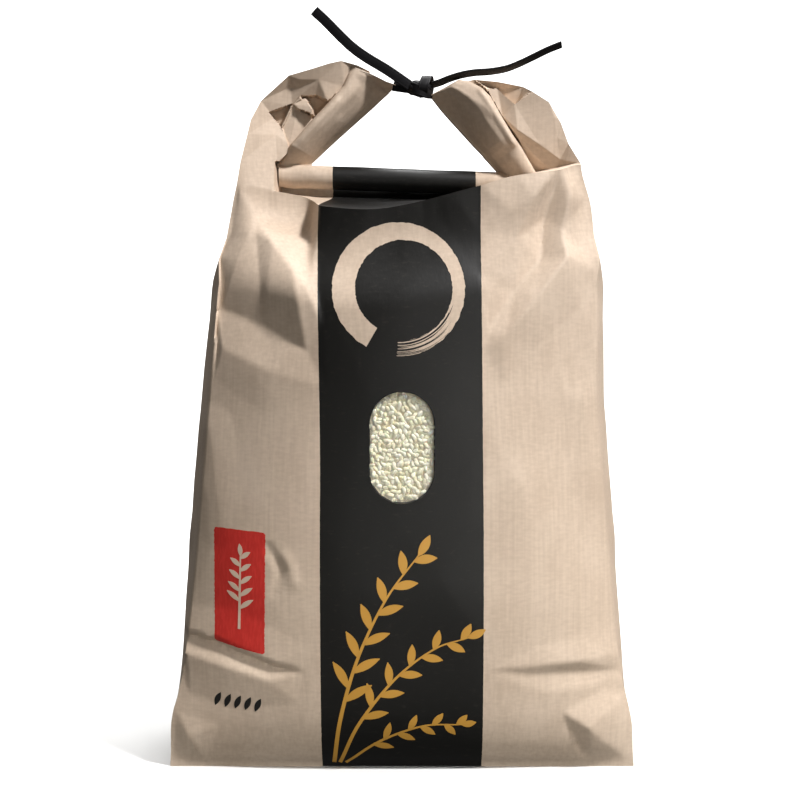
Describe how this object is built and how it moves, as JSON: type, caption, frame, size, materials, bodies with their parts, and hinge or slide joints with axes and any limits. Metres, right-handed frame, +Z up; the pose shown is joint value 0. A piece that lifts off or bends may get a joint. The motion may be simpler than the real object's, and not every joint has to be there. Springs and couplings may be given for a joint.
{
  "type": "rice sack",
  "caption": "Standing kraft paper rice sack with a rolled mouth bent up into ears, a knotted tie over the handle gap and a clear window.",
  "frame": {"origin": "centre of the folded bottom, on the surface that the sack stands on", "axes": "+Z up to the knot, -Y out of the printed face, +X to the right of the printed face"},
  "size_m": [0.24, 0.1334, 0.3934],
  "materials": {
    "kraft_paper": "matt kraft paper with fine fibres and a black, red and gold print",
    "rice": "polished uncooked rice grains",
    "clear_film": "thin clear film",
    "tie": "ribbed black paper and wire tape"
  },
  "bodies": {
    "root": {"sack": "kraft_paper", "window_rice": "rice", "window_film": "clear_film", "tie_knot": "tie", "tie_tail_left": "tie", "tie_tail_right": "tie"}
  },
  "joints": []
}
